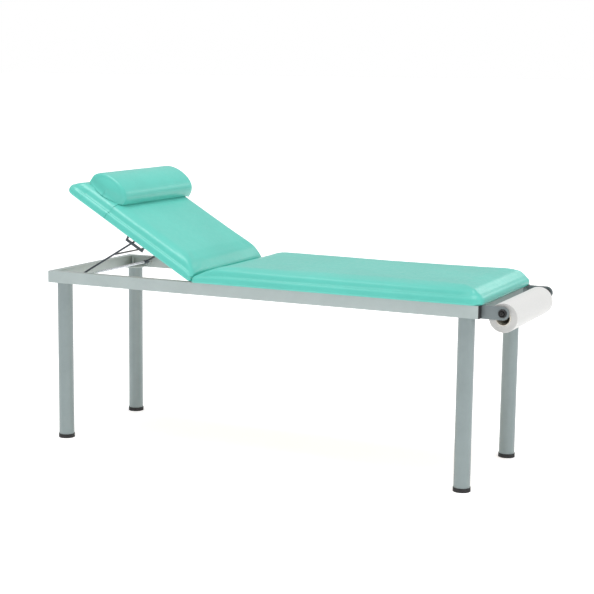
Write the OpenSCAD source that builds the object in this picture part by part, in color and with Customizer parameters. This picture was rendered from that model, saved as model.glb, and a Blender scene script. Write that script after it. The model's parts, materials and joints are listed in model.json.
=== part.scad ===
// Medical exam table with a ratchet backrest, a neck bolster and a paper roll holder.
// +X runs from the head end to the foot end, +Y to the patient's left, +Z up.
// The origin lies on the floor, under the middle of the whole table.

/* [Frame] */
// Length of the two long rails
frame_len = 1860; // [1750:10:1950]
// Width over the two long rails
frame_w = 640; // [600:10:700]
// Height of the rails' top face above the floor
top_z = 706; // [650:2:760]
// Width of every rail's section
rail_w = 30; // [25:1:40]
// Height of the outer rails' section
rail_h = 48; // [44:1:60]
// Height of the middle cross rail's section
mid_rail_h = 30; // [20:1:40]
// Wall of every rail
rail_wall = 2; // [1.5:0.5:3]

/* [Legs] */
// Outer diameter of a leg
leg_d = 63; // [50:1:66]
// Wall of a leg
leg_wall = 2; // [1.5:0.5:4]
// Distance from the frame's end to a leg's axis
leg_inset_x = 56; // [48:1:64]
// Distance from the frame's side to a leg's axis
leg_inset_y = 41; // [38:1:50]
// Outer diameter of a foot cap
foot_d = 67; // [54:1:72]
// Height of a foot cap's skirt
foot_h = 16; // [10:1:30]
// Thickness of a foot cap's sole
foot_sole = 4; // [3:1:8]

/* [Upholstery] */
// Distance from the frame's head end to the backrest's hinge line
hinge_from_head = 670; // [620:10:700]
// Thickness of a pad with its board
pad_t = 64; // [48:2:80]
// Thickness of a board
board_t = 16; // [12:1:20]
// How far the pads stand out past the long rails
pad_overhang = 4; // [0:1:10]
// Length of the backrest from its hinge line
backrest_len = 675; // [600:5:680]
// How far the seat pad stands out past the rails' foot end
foot_overhang = 12; // [5:1:20]
// Rounding of a pad's outer edges
pad_round = 16; // [8:1:20]
// Rounding of a pad's free corners, seen from above
pad_corner = 46; // [20:2:60]

/* [Bolster] */
// Length of the neck bolster
bolster_len = 590; // [400:10:600]
// How far the bolster lies off the middle, to the patient's left
bolster_shift = 20; // [0:5:25]
// Radius of the bolster's round side
bolster_r = 95; // [60:1:100]
// Height of the bolster above the pad
bolster_h = 78; // [60:1:90]
// Distance from the hinge line to the bolster's middle
bolster_at = 538; // [480:2:540]

/* [Backrest support] */
// Angle of the backrest as modelled
rest_angle = 30.2; // [30.2:30.2]
// Distance from the hinge line to the first notch
notch_first = 272; // [270:1:276]
// Distance between two notches
notch_pitch = 21; // [20:1:23]
// Number of notches
notch_count = 4; // [3:1:4]
// Notch that the strut stands in, counted from the hinge
notch_used = 3; // [3:3]
// Diameter of the strut's rods
strut_d = 8; // [8:1:10]
// Distance from the frame's head end to the pivot bar
pivot_from_head = 116; // [112:1:120]
// Depth of the pivot bar's axis under the rails' top
pivot_drop = 22; // [21:1:24]
// Diameter of the pivot bar
pivot_d = 10; // [9:1:14]

/* [Paper roll holder] */
// Distance from the rails' foot end to the roll rod's axis
rod_reach = 82; // [70:1:100]
// Height of an arm's plate
arm_h = 50; // [44:1:56]
// Thickness of an arm's plate
arm_t = 4; // [3:1:6]
// Diameter of the roll rod
rod_d = 16; // [12:1:30]
// Diameter of a full paper roll
roll_d = 110; // [80:5:130]
// Width of the paper
roll_w = 465; // [400:5:560]
// Gap between the roll and the rod's right arm
roll_gap = 6; // [5:1:50]
// Inner diameter of the roll's core
core_d = 52; // [40:1:60]

/* [Hidden] */
$fn = 64;
// Gap that keeps a fastener or a shaft free in its hole
fit = 0.05;
// Overshoot of a cutting tool past a face
cut = 1;
total_len = frame_len + rod_reach + roll_d / 2;
head_x = -total_len / 2;
foot_x = head_x + frame_len;
inner_y = frame_w / 2 - rail_w;
rail_bottom = top_z - rail_h;

leg_x = [head_x + leg_inset_x, foot_x - leg_inset_x];
leg_y = [-frame_w / 2 + leg_inset_y, frame_w / 2 - leg_inset_y];
plug_t = 12;
plate_t = 5;
plate_side = 70;
plate_clip = 26;
rib_len = 20;
bolt_r = 5;
bolt_len = 20;
bolt_head_r = 9;
bolt_head_h = 6.5;
cap_t = 3;
cap_depth = 20;

leaf_t = 2.5;
leaf_len = 44;
leaf_w = 76;
leaf_lift = 2;
hinge_x = head_x + hinge_from_head;
hinge_z = top_z - leaf_t / 2;
hinge_y = 190;
barrel_r = 5.5;
pin_r = 3;
knuckles = 5;
knuckle_gap = 0.4;
board_gap = 8;
board_inset = 8;
mitre = 17;
seam = 1;
bolster_gap = 0.3;
pad_w = frame_w + 2 * pad_overhang;
board_w = pad_w - 2 * board_inset;
seat_len = frame_len - hinge_from_head + foot_overhang;
screw_r = 2;
screw_head_r = 4;
screw_head_h = 2.2;
screw_depth = 10;
leaf_screws = [for (x = [18, 34], y = [-26, 26]) [x, y]];

tab_x = [hinge_x + 260, foot_x - 260];
tab_len = 40;
tab_reach = 26;
tab_t = 3;
mid_rail_x = hinge_x + 66;

rack_y = 281.5;
rack_t = 5;
rack_end = 14;
rack_drop = 35;
bar_h = 11;
slot_h = 12;
notch_w = strut_d + 4;
notch_h = 7;
flange_w = 22;
flange_t = 3;
rack_flange_x = notch_first - rack_end;
rack_flange_len = 12;
leg_rod_y = 270;
tip_y = 278;
tip_r = strut_d / 2 - 0.4;
tip_w = -17;
tip_s = notch_first + (notch_used - 1) * notch_pitch;
pivot_x = head_x + pivot_from_head;
pivot_z = top_z - pivot_drop;
tip_x = hinge_x - tip_s * cos(rest_angle) + tip_w * sin(rest_angle);
tip_z = hinge_z + tip_s * sin(rest_angle) + tip_w * cos(rest_angle);
strut_len = norm([tip_x - pivot_x, tip_z - pivot_z]);
strut_angle = atan2(tip_z - pivot_z, tip_x - pivot_x);
spreader_at = 0.62 * strut_len;
sleeve_len = 26;
sleeve_wall = 3;
sleeve_r = pivot_d / 2 + sleeve_wall;
bracket_t = 4;
bracket_r = 17;

rod_x = foot_x + rod_reach;
rod_z = top_z - arm_h / 2;
rod_wall = 2;
arm_y = inner_y;
flange_len = 44;
stub_r = rod_d / 2 - rod_wall - fit;
stub_len = 24;
knob_r = 17;
knob_h = 12;
core_wall = 2;
roll_x = rod_x;
roll_y = roll_w / 2 + roll_gap - arm_y + arm_t;
roll_z = rod_z - (core_d - rod_d) / 2 + 0.3;
core_over = 4;
arm_bolt_z = [top_z - 14, top_z - arm_h + 14];
arm_bolt_r = 3;

// ---- Helpers ----

// A rectangular tube along X, open at both ends, or closed at its low end
module tube_x(len, w, h, closed = false) {
    difference() {
        cube([len, w, h]);
        translate([closed ? rail_wall : -cut, rail_wall, rail_wall])
            cube([len + 2 * cut, w - 2 * rail_wall, h - 2 * rail_wall]);
    }
}

// A rectangular tube across the table, centred on Y, with its low X face at x
module cross_rail(x, z, h) {
    translate([x + rail_w, -inner_y, z])
        rotate([0, 0, 90])
            tube_x(2 * inner_y, rail_w, h);
}

// A round bar along Y from y0 to y1
module bar_y(r, y0, y1) {
    translate([0, y0, 0])
        rotate([-90, 0, 0])
            cylinder(r = r, h = y1 - y0);
}

// Children in the backrest's own flat position, turned up to the modelled angle
module on_backrest() {
    translate([hinge_x, 0, hinge_z])
        rotate([0, rest_angle, 0])
            children();
}

// Children along the strut, which points to +X before it is turned up
module on_strut() {
    translate([pivot_x, 0, pivot_z])
        rotate([0, -strut_angle, 0])
            children();
}

// A copy for the side: 0 is right (-Y) and 1 is left (+Y)
module on_side(side) {
    mirror([0, side == 1 ? 0 : 1, 0])
        children();
}

// ---- Frame ----

module long_rail(side) {
    color("silver")
        on_side(side)
            translate([head_x, inner_y, rail_bottom])
                tube_x(frame_len, rail_w, rail_h, closed = true);
}

module cross_rail_head() {
    color("silver")
        cross_rail(head_x, rail_bottom, rail_h);
}

module cross_rail_foot() {
    color("silver")
        difference() {
            cross_rail(foot_x - rail_w, rail_bottom, rail_h);
            holder_bolt_set(fit);
        }
}

module cross_rail_middle() {
    color("silver")
        cross_rail(mid_rail_x, top_z - mid_rail_h, mid_rail_h);
}

module end_cap(side) {
    inside = rail_wall + fit;
    color("black")
        on_side(side)
            translate([foot_x, inner_y, rail_bottom]) {
                cube([cap_t, rail_w, rail_h]);
                translate([-cap_depth, inside, inside])
                    cube([cap_depth, rail_w - 2 * inside, rail_h - 2 * inside]);
            }
}

// A flat plate welded into an inner corner of the frame, with an upright rib
module corner_plate(end, side) {
    turn = end == 0 ? 0 : 1;
    corner_x = end == 0 ? head_x + rail_w : foot_x - rail_w;
    color("silver")
        difference() {
            translate([corner_x, side == 0 ? -inner_y : inner_y, rail_bottom])
                mirror([turn, 0, 0])
                    mirror([0, side, 0]) {
                        linear_extrude(plate_t)
                            polygon([[0, 0], [plate_side, 0], [plate_side, plate_side - plate_clip],
                                [plate_side - plate_clip, plate_side], [0, plate_side]]);
                        translate([0, 0, plate_t])
                            rotate([0, 0, 45])
                                translate([3, -2, 0])
                                    cube([rib_len, 4, rail_h - plate_t - 8]);
                    }
            translate([leg_x[end], leg_y[side], rail_bottom - cut])
                cylinder(r = bolt_r + fit, h = plate_t + 2 * cut);
        }
}

// ---- Legs ----

module leg(end, side) {
    color("silver")
        translate([leg_x[end], leg_y[side], foot_sole])
            difference() {
                cylinder(d = leg_d, h = rail_bottom - foot_sole);
                translate([0, 0, -cut])
                    cylinder(d = leg_d - 2 * leg_wall, h = rail_bottom - foot_sole + 2 * cut);
            }
}

module leg_plugs() {
    color("dimgray")
        for (x = leg_x, y = leg_y)
            translate([x, y, rail_bottom - plug_t])
                difference() {
                    cylinder(r = leg_d / 2 - leg_wall - fit, h = plug_t);
                    translate([0, 0, -cut])
                        cylinder(r = bolt_r + fit, h = plug_t + 2 * cut);
                }
}

module leg_bolts() {
    color("gainsboro")
        for (x = leg_x, y = leg_y)
            translate([x, y, rail_bottom + plate_t]) {
                cylinder(r = bolt_head_r, h = bolt_head_h, $fn = 6);
                translate([0, 0, -bolt_len])
                    cylinder(r = bolt_r, h = bolt_len);
            }
}

module foot_cap(end, side) {
    color("black")
        translate([leg_x[end], leg_y[side], 0])
            difference() {
                cylinder(d = foot_d, h = foot_h);
                translate([0, 0, foot_sole])
                    cylinder(r = leg_d / 2 + fit, h = foot_h);
            }
}

// ---- Seat ----

// A pad's side view: mitred towards the hinge line and rounded at its free end
module pad_profile(len, base) {
    shift = (pad_t - base) * tan(mitre);
    polygon([[seam, 0], [len, 0], [len, pad_t - base - pad_round], [len - pad_round, pad_t - base],
        [shift + seam, pad_t - base]]);
    translate([len - pad_round, pad_t - base - pad_round])
        circle(r = pad_round);
}

// A plan from x = start to x = end whose two corners at the end are round
module round_ended_plan(start, end, width, corner) {
    translate([start, -width / 2])
        square([end - corner - start, width]);
    translate([end - corner - cut, -width / 2 + corner])
        square([corner + cut, width - 2 * corner]);
    for (side = [-1, 1])
        translate([end - corner, side * (width / 2 - corner)])
            circle(r = corner);
}

module pad_solid(len, base) {
    intersection() {
        translate([0, pad_w / 2, 0])
            rotate([90, 0, 0])
                linear_extrude(pad_w)
                    pad_profile(len, base);
        translate([0, 0, -cut])
            linear_extrude(pad_t + 2 * cut)
                round_ended_plan(-cut, len, pad_w, pad_corner);
    }
}

module board_solid(len) {
    linear_extrude(board_t)
        round_ended_plan(board_gap, len - board_inset, board_w, pad_corner - board_inset);
}

module seat_board() {
    color("burlywood")
        difference() {
            translate([hinge_x, 0, top_z])
                board_solid(seat_len);
            seat_leaf_screw_set(fit);
            board_screw_set(fit);
        }
}

module seat_pad() {
    color("mediumaquamarine")
        difference() {
            translate([hinge_x, 0, top_z])
                pad_solid(seat_len, 0);
            translate([hinge_x, 0, top_z])
                board_solid(seat_len);
            translate([hinge_x - cut, -board_w / 2, top_z - cut])
                cube([board_gap + cut, board_w, board_t + cut]);
        }
}

module board_tabs() {
    color("silver")
        difference() {
            for (x = tab_x, side = [0, 1])
                on_side(side)
                    translate([x - tab_len / 2, inner_y - tab_reach, top_z - tab_t])
                        cube([tab_len, tab_reach, tab_t]);
            board_screw_set(fit);
        }
}

module board_screw_set(gap) {
    for (x = tab_x, side = [0, 1])
        on_side(side)
            translate([x, inner_y - tab_reach / 2, top_z - tab_t])
                screw(gap);
}

// A screw that enters a board from below; z = 0 is under its head
module screw(gap, depth = screw_depth) {
    cylinder(r = screw_r + gap, h = depth);
    translate([0, 0, -screw_head_h])
        cylinder(r = screw_head_r, h = screw_head_h);
}

module board_screws() {
    color("gainsboro")
        board_screw_set(0);
}

// ---- Hinges ----

// The barrel segments that belong to one leaf: the odd or the even ones
module knuckle_set(first) {
    pitch = leaf_w / knuckles;
    for (i = [first : 2 : knuckles - 1])
        bar_y(barrel_r, -leaf_w / 2 + i * pitch + knuckle_gap / 2,
            -leaf_w / 2 + (i + 1) * pitch - knuckle_gap / 2);
}

// One leaf pointing to +X, with its top face at z = top
module leaf(first, top) {
    pitch = leaf_w / knuckles;
    difference() {
        union() {
            knuckle_set(first);
            difference() {
                translate([0, -leaf_w / 2, top - leaf_t])
                    cube([leaf_len, leaf_w, leaf_t]);
                for (i = [1 - first : 2 : knuckles - 1])
                    translate([-cut, -leaf_w / 2 + i * pitch - knuckle_gap / 2, top - leaf_t - cut])
                        cube([barrel_r + 1 + cut, pitch + knuckle_gap, leaf_t + 2 * cut]);
            }
        }
        bar_y(pin_r + fit, -leaf_w, leaf_w);
        for (p = leaf_screws)
            translate([p[0], p[1], top - leaf_t - cut])
                cylinder(r = screw_r + fit, h = leaf_t + 2 * cut);
    }
}

module leaf_screws_at(top, gap) {
    for (p = leaf_screws)
        translate([p[0], p[1], top - leaf_t])
            screw(gap);
}

module at_hinges() {
    for (y = [-hinge_y, hinge_y])
        translate([hinge_x, y, hinge_z])
            children();
}

module seat_leaf_screw_set(gap) {
    at_hinges()
        leaf_screws_at(leaf_t / 2, gap);
}

module seat_hinge_leaves() {
    color("gainsboro")
        at_hinges()
            leaf(0, leaf_t / 2);
}

module hinge_pins() {
    color("gainsboro")
        at_hinges()
            bar_y(pin_r, -leaf_w / 2 - 1, leaf_w / 2 + 1);
}

module seat_leaf_screws() {
    color("gainsboro")
        seat_leaf_screw_set(0);
}

// ---- Backrest ----

module at_backrest_hinges() {
    on_backrest()
        for (y = [-hinge_y, hinge_y])
            translate([0, y, 0])
                mirror([1, 0, 0])
                    children();
}

module backrest_leaf_screw_set(gap) {
    at_backrest_hinges()
        leaf_screws_at(leaf_lift, gap);
}

module backrest_hinge_leaves() {
    color("gainsboro")
        at_backrest_hinges()
            leaf(1, leaf_lift);
}

module backrest_leaf_screws() {
    color("gainsboro")
        backrest_leaf_screw_set(0);
}

module backrest_board() {
    color("burlywood")
        difference() {
            on_backrest()
                mirror([1, 0, 0])
                    translate([0, 0, leaf_lift])
                        board_solid(backrest_len);
            backrest_leaf_screw_set(fit);
            rack_screw_set(fit);
        }
}

module backrest_pad() {
    color("mediumaquamarine")
        on_backrest()
            mirror([1, 0, 0])
                difference() {
                    translate([0, 0, leaf_lift])
                        pad_solid(backrest_len, leaf_lift - leaf_t / 2);
                    translate([0, 0, leaf_lift])
                        board_solid(backrest_len);
                    translate([-cut, -board_w / 2, leaf_lift - cut])
                        cube([board_gap + cut, board_w, board_t + cut]);
                }
}

// A half-round bolster lying across the backrest pad
module neck_bolster() {
    pad_top = pad_t + leaf_t / 2;
    color("mediumaquamarine")
        on_backrest()
            translate([-bolster_at, bolster_len / 2 + bolster_shift, pad_top + bolster_gap])
                rotate([90, 0, 0])
                    linear_extrude(bolster_len)
                        intersection() {
                            translate([0, bolster_h - bolster_r])
                                circle(r = bolster_r);
                            translate([-bolster_r, 0])
                                square([2 * bolster_r, bolster_h]);
                        }
}

// ---- Backrest support ----

// A rack's side view. Its x runs from the hinge line along the backrest.
module rack_profile() {
    last = notch_first + (notch_count - 1) * notch_pitch;
    slot_low = -rack_drop + bar_h;
    slot_top = slot_low + slot_h;
    difference() {
        translate([notch_first - rack_end, -rack_drop])
            square([last - notch_first + 2 * rack_end, rack_drop + leaf_lift]);
        translate([notch_first - notch_w / 2, slot_low])
            square([last - notch_first + notch_w, slot_h]);
        for (i = [0 : notch_count - 1])
            translate([notch_first + i * notch_pitch, slot_top - cut]) {
                translate([-notch_w / 2, 0])
                    square([notch_w, notch_h + cut - notch_w / 4]);
                translate([0, notch_h + cut - notch_w / 2])
                    circle(r = notch_w / 2);
            }
    }
}

module rack(side) {
    color("black")
        difference() {
            on_side(side)
                on_backrest()
                    mirror([1, 0, 0]) {
                        translate([0, rack_y + rack_t / 2, 0])
                            rotate([90, 0, 0])
                                linear_extrude(rack_t)
                                    rack_profile();
                        translate([rack_flange_x, rack_y - rack_t / 2 - flange_w, leaf_lift - flange_t])
                            cube([rack_flange_len, flange_w, flange_t]);
                    }
            rack_screw_set(fit);
        }
}

module rack_screw_set(gap) {
    for (side = [0, 1])
        on_side(side)
            on_backrest()
                translate([-rack_flange_x - rack_flange_len / 2, rack_y - flange_w / 2 - 4,
                    leaf_lift - flange_t])
                    screw(gap);
}

module rack_screws() {
    color("gainsboro")
        rack_screw_set(0);
}

module pivot_bar() {
    color("lightgray")
        translate([pivot_x, 0, pivot_z])
            bar_y(pivot_d / 2, -inner_y, inner_y);
}

module pivot_bracket(side) {
    color("silver")
        on_side(side)
            translate([pivot_x, 0, pivot_z])
                difference() {
                    bar_y(bracket_r, inner_y - bracket_t, inner_y);
                    bar_y(pivot_d / 2 + fit, inner_y - bracket_t - cut, inner_y + cut);
                }
}

module strut_leg(side) {
    color("dimgray")
        on_side(side)
            on_strut()
                difference() {
                    union() {
                        translate([0, leg_rod_y, 0])
                            rotate([0, 90, 0])
                                cylinder(d = strut_d, h = strut_len);
                        translate([strut_len, 0, 0])
                            bar_y(tip_r, leg_rod_y, tip_y);
                        translate([strut_len, leg_rod_y, 0])
                            sphere(d = strut_d);
                    }
                    bar_y(sleeve_r, leg_rod_y - strut_d, leg_rod_y + strut_d);
                }
}

module strut_sleeve(side) {
    color("dimgray")
        on_side(side)
            translate([pivot_x, 0, pivot_z])
                difference() {
                    bar_y(sleeve_r, leg_rod_y - sleeve_len / 2, leg_rod_y + sleeve_len / 2);
                    bar_y(pivot_d / 2 + fit, leg_rod_y - sleeve_len, leg_rod_y + sleeve_len);
                }
}

module strut_spreader() {
    color("dimgray")
        on_strut()
            difference() {
                translate([spreader_at, 0, 0])
                    bar_y(strut_d / 2 - 0.5, -leg_rod_y, leg_rod_y);
                for (side = [0, 1])
                    on_side(side)
                        translate([0, leg_rod_y, 0])
                            rotate([0, 90, 0])
                                cylinder(d = strut_d, h = strut_len);
            }
}

// ---- Paper roll holder ----

module holder_arm(side) {
    color("gray")
        on_side(side)
            difference() {
                union() {
                    translate([foot_x, arm_y - arm_t, top_z - arm_h])
                        cube([rod_reach, arm_t, arm_h]);
                    translate([rod_x, 0, rod_z])
                        bar_y(arm_h / 2, arm_y - arm_t, arm_y);
                    translate([foot_x, arm_y - flange_len, top_z - arm_h])
                        cube([arm_t, flange_len, arm_h]);
                }
                translate([rod_x, 0, rod_z])
                    bar_y(stub_r + fit, arm_y - arm_t - cut, arm_y + cut);
                holder_bolt_holes(fit);
            }
}

module holder_bolt_holes(gap) {
    for (z = arm_bolt_z)
        translate([foot_x - cut, arm_y - flange_len / 2, z])
            rotate([0, 90, 0])
                cylinder(r = arm_bolt_r + gap, h = arm_t + 2 * cut);
}

module holder_bolt_set(gap) {
    for (side = [0, 1], z = arm_bolt_z)
        on_side(side)
            translate([foot_x + arm_t, arm_y - flange_len / 2, z])
                rotate([0, -90, 0]) {
                    cylinder(r = arm_bolt_r + gap, h = arm_t + rail_wall + 4);
                    translate([0, 0, -4])
                        cylinder(r = 5.5, h = 4, $fn = 6);
                }
}

module holder_bolts() {
    color("gainsboro")
        holder_bolt_set(0);
}

module holder_rod() {
    color("lightgray")
        translate([rod_x, 0, rod_z])
            difference() {
                bar_y(rod_d / 2, -(arm_y - arm_t), arm_y - arm_t);
                bar_y(rod_d / 2 - rod_wall, -arm_y, arm_y);
            }
}

module holder_knob(side) {
    color("black")
        on_side(side)
            translate([rod_x, 0, rod_z]) {
                bar_y(knob_r, arm_y, arm_y + knob_h);
                bar_y(stub_r, arm_y - arm_t - stub_len, arm_y);
            }
}

module roll_core() {
    color("tan")
        translate([roll_x, roll_y, roll_z])
            difference() {
                bar_y(core_d / 2 + core_wall, -roll_w / 2 - core_over, roll_w / 2 + core_over);
                bar_y(core_d / 2, -roll_w, roll_w);
            }
}

module paper_roll() {
    color("white")
        translate([roll_x, roll_y, roll_z])
            difference() {
                bar_y(roll_d / 2, -roll_w / 2, roll_w / 2);
                bar_y(core_d / 2 + core_wall, -roll_w, roll_w);
            }
}

long_rail(0);  // rail_right
long_rail(1);  // rail_left
cross_rail_head();
cross_rail_foot();
cross_rail_middle();
end_cap(0);  // end_cap_right
end_cap(1);  // end_cap_left
corner_plate(0, 0);  // corner_plate_head_right
corner_plate(0, 1);  // corner_plate_head_left
corner_plate(1, 0);  // corner_plate_foot_right
corner_plate(1, 1);  // corner_plate_foot_left
leg(0, 0);  // leg_head_right
leg(0, 1);  // leg_head_left
leg(1, 0);  // leg_foot_right
leg(1, 1);  // leg_foot_left
leg_plugs();
leg_bolts();
foot_cap(0, 0);  // foot_cap_head_right
foot_cap(0, 1);  // foot_cap_head_left
foot_cap(1, 0);  // foot_cap_foot_right
foot_cap(1, 1);  // foot_cap_foot_left
seat_board();
seat_pad();
board_tabs();
board_screws();
seat_hinge_leaves();
hinge_pins();
seat_leaf_screws();
pivot_bar();
pivot_bracket(0);  // pivot_bracket_right
pivot_bracket(1);  // pivot_bracket_left
holder_arm(0);  // holder_arm_right
holder_arm(1);  // holder_arm_left
holder_bolts();
holder_rod();
holder_knob(0);  // holder_knob_right
holder_knob(1);  // holder_knob_left
backrest_board();
backrest_pad();
backrest_hinge_leaves();
backrest_leaf_screws();
rack(0);  // rack_right
rack(1);  // rack_left
rack_screws();
neck_bolster();
strut_leg(0);  // strut_leg_right
strut_leg(1);  // strut_leg_left
strut_spreader();
strut_sleeve(0);  // strut_sleeve_right
strut_sleeve(1);  // strut_sleeve_left
roll_core();
paper_roll();
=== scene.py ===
"""Looks of the medical exam table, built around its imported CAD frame. Metres, +X towards the foot end."""

import json
import math
import random

import bmesh
import bpy
from mathutils import Matrix, Vector, noise
from mathutils.bvhtree import BVHTree


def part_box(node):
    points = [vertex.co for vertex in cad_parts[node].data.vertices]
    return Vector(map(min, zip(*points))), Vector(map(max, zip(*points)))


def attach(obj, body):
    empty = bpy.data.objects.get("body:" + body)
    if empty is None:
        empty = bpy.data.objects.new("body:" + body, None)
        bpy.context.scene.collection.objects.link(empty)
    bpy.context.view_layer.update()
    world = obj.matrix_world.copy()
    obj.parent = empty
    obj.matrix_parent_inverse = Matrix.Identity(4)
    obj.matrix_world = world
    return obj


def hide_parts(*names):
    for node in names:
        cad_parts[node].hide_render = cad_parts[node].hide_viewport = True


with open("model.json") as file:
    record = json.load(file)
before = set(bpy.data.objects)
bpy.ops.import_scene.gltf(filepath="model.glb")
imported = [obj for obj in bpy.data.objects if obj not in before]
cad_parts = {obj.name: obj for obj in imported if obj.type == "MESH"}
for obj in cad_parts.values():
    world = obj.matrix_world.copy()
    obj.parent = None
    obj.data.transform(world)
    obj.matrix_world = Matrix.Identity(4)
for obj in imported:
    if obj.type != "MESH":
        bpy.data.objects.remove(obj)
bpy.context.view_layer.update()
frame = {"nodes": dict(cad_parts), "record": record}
JOINTS = {joint["name"]: joint for joint in frame["record"]["behaviour"]["joints"]}
HINGE = Vector(JOINTS["backrest_hinge"]["pos_m"])
REST_ANGLE = math.radians(-JOINTS["backrest_hinge"]["range_deg"][0])
ROLL_AXIS = Vector(JOINTS["roll_spin"]["pos_m"])
random.seed(7)


# ---- Camera ----

def make_camera():
    """Looks from the right of the foot end, a little above the pads."""
    azimuth, elevation, roll = math.radians(25.07), math.radians(8.87), math.radians(-0.71)
    target = Vector((-0.0615, 0.1082, 0.610))
    distance = 6.1325
    back = Vector((math.sin(azimuth) * math.cos(elevation),
                   -math.cos(azimuth) * math.cos(elevation), math.sin(elevation)))
    right = Vector((0, 0, 1)).cross(back).normalized()
    up = back.cross(right)
    turn = Matrix.Rotation(-roll, 3, back)
    right, up = turn @ right, turn @ up
    data = bpy.data.cameras.new("camera")
    data.sensor_width = 36
    data.lens = 89.84
    data.clip_end = 200
    camera = bpy.data.objects.new("camera", data)
    camera.matrix_world = Matrix.Translation(target + back * distance) @ Matrix((
        (right.x, up.x, back.x, 0), (right.y, up.y, back.y, 0),
        (right.z, up.z, back.z, 0), (0, 0, 0, 1)))
    bpy.context.scene.collection.objects.link(camera)
    bpy.context.scene.camera = camera


make_camera()


# ---- Materials ----

class Nodes:
    """A material with a Principled BSDF, and short calls for the nodes that drive it."""

    def __init__(self, name, colour, roughness, metallic=0.0, **sockets):
        self.material = bpy.data.materials.new(name)
        self.material.use_nodes = True
        self.tree = self.material.node_tree
        self.shader = self.tree.nodes["Principled BSDF"]
        self.shader.inputs["Base Color"].default_value = (*colour, 1)
        self.shader.inputs["Roughness"].default_value = roughness
        self.shader.inputs["Metallic"].default_value = metallic
        for socket, value in sockets.items():
            self.shader.inputs[socket.replace("_", " ")].default_value = value
        self.place = self.tree.nodes.new("ShaderNodeTexCoord").outputs["Object"]
        self.normal = None

    def link(self, source, target):
        """Joins one node's output to another's input."""
        self.tree.links.new(source, target)

    def stretched(self, scale):
        """Object coordinates scaled by a different amount along each axis."""
        node = self.tree.nodes.new("ShaderNodeMapping")
        node.inputs["Scale"].default_value = scale
        self.link(self.place, node.inputs["Vector"])
        return node.outputs["Vector"]

    def noise(self, scale, detail=3.0, roughness=0.5, distortion=0.0, place=None):
        """Cloudy noise, from 0 to 1."""
        node = self.tree.nodes.new("ShaderNodeTexNoise")
        node.inputs["Scale"].default_value = scale
        node.inputs["Detail"].default_value = detail
        node.inputs["Roughness"].default_value = roughness
        node.inputs["Distortion"].default_value = distortion
        self.link(place or self.place, node.inputs["Vector"])
        return node.outputs["Fac"]

    def cells(self, scale, feature="F1"):
        """Distances in a pattern of cells."""
        node = self.tree.nodes.new("ShaderNodeTexVoronoi")
        node.feature = feature
        node.inputs["Scale"].default_value = scale
        self.link(self.place, node.inputs["Vector"])
        return node.outputs["Distance"]

    def ramp(self, source, low, high, start=0.0, end=1.0):
        """Maps source from [low, high] to [start, end], held at the ends."""
        node = self.tree.nodes.new("ShaderNodeMapRange")
        for socket, value in zip(("From Min", "From Max", "To Min", "To Max"), (low, high, start, end)):
            node.inputs[socket].default_value = value
        self.link(source, node.inputs["Value"])
        return node.outputs["Result"]

    def multiply(self, a, b):
        """The product of two outputs."""
        node = self.tree.nodes.new("ShaderNodeMath")
        node.operation = "MULTIPLY"
        self.link(a, node.inputs[0])
        self.link(b, node.inputs[1])
        return node.outputs[0]

    def mix(self, factor, colour_a, colour_b):
        """A colour between two colours, each a tuple or a node's output."""
        node = self.tree.nodes.new("ShaderNodeMix")
        node.data_type = "RGBA"
        self.link(factor, node.inputs["Factor"])
        for index, colour in ((6, colour_a), (7, colour_b)):
            if isinstance(colour, tuple):
                node.inputs[index].default_value = (*colour, 1)
            else:
                self.link(colour, node.inputs[index])
        return node.outputs[2]

    def edges(self, radius):
        """1 along worn outer edges within radius, 0 elsewhere."""
        bevel = self.tree.nodes.new("ShaderNodeBevel")
        bevel.samples = 4
        bevel.inputs["Radius"].default_value = radius
        geometry = self.tree.nodes.new("ShaderNodeNewGeometry")
        dot = self.tree.nodes.new("ShaderNodeVectorMath")
        dot.operation = "DOT_PRODUCT"
        self.link(bevel.outputs["Normal"], dot.inputs[0])
        self.link(geometry.outputs["Normal"], dot.inputs[1])
        return self.ramp(dot.outputs["Value"], 0.995, 0.85)

    def bump(self, height, strength, distance):
        """Adds one more layer of relief, with its depth in metres."""
        node = self.tree.nodes.new("ShaderNodeBump")
        node.inputs["Strength"].default_value = strength
        node.inputs["Distance"].default_value = distance
        self.link(height, node.inputs["Height"])
        if self.normal:
            self.link(self.normal, node.inputs["Normal"])
        self.normal = node.outputs["Normal"]

    def done(self, colour, roughness=None):
        """Links what was built to the shader, and gives the material."""
        self.link(colour, self.shader.inputs["Base Color"])
        if roughness:
            self.link(roughness, self.shader.inputs["Roughness"])
        if self.normal:
            self.link(self.normal, self.shader.inputs["Normal"])
        return self.material


def shade(colour, factor):
    """A colour made lighter or darker."""
    return tuple(channel * factor for channel in colour)


def make_vinyl():
    """Smooth upholstery vinyl: fine pebble grain, a soft sheen and faint handling marks."""
    mint = (0.104, 0.540, 0.460)
    m = Nodes("mint_vinyl", mint, 0.36, Coat_Weight=0.25, Coat_Roughness=0.20, Specular_IOR_Level=0.42)
    soft = m.noise(3.5, 4.0, 0.6)
    colour = m.mix(m.ramp(soft, 0.3, 0.7), shade(mint, 0.95), shade(mint, 1.05))
    marks = m.ramp(m.noise(26, 6.0, 0.7, 1.2), 0.62, 0.78)
    colour = m.mix(m.multiply(marks, m.ramp(soft, 0.4, 0.6, 0.0, 0.35)), colour, shade(mint, 0.88))
    m.bump(m.ramp(m.cells(760, "DISTANCE_TO_EDGE"), 0.0, 0.32), 0.30, 0.00012)
    m.bump(m.noise(2600, 2.0), 0.18, 0.00005)
    m.bump(m.noise(14, 2.0, 0.4), 0.35, 0.0012)
    return m.done(colour, m.ramp(m.noise(60, 4.0, 0.6), 0.3, 0.7, 0.33, 0.44))


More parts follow.
